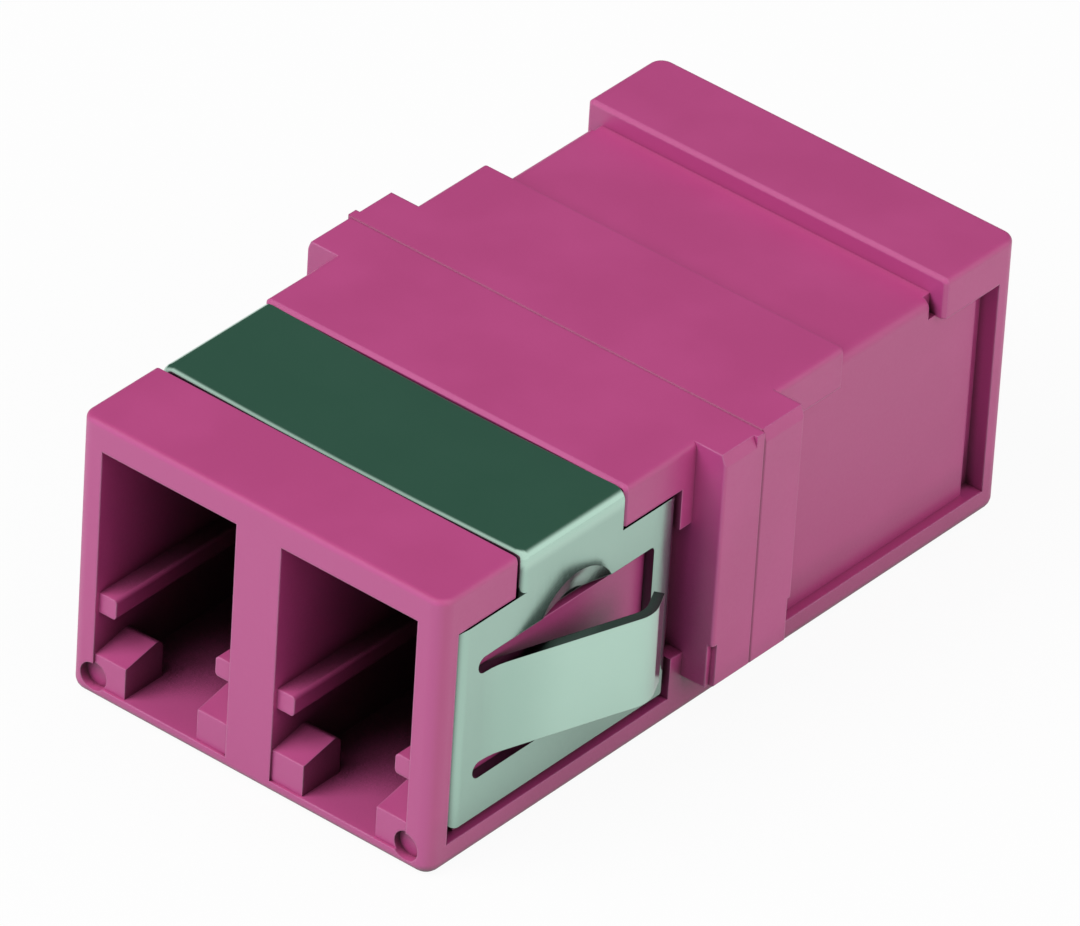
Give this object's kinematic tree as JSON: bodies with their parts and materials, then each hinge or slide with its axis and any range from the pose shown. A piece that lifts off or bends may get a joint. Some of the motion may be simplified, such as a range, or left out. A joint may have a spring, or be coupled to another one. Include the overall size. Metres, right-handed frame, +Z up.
{
  "type": "duplex fibre optic adapter",
  "caption": "Flangeless duplex fibre adapter: two welded housing halves with paired square plug ports at each end, side stub flanges and a folded spring clip that snaps into a panel.",
  "frame": {"origin": "on the underside, at the middle of the width and of the length; the seam of the two halves is at the origin", "axes": "+Y from the front ports, which carry the clip, to the rear ports; +X to the right when looking into the front ports; +Z up"},
  "size_m": [0.0156, 0.024, 0.0089],
  "materials": {
    "housing": "satin moulded magenta plastic with a fine spark-eroded grain",
    "clip": "bright rolled spring steel",
    "sleeve_holder": "satin moulded plastic",
    "split_sleeve": "ground white zirconia ceramic, stood in for by gloss plastic"
  },
  "bodies": {
    "root": {"front_housing": "housing", "rear_housing": "housing", "retaining_clip": "clip", "sleeve_holder_front": "sleeve_holder", "sleeve_holder_rear": "sleeve_holder", "split_sleeve_left": "split_sleeve", "split_sleeve_right": "split_sleeve"}
  },
  "joints": []
}
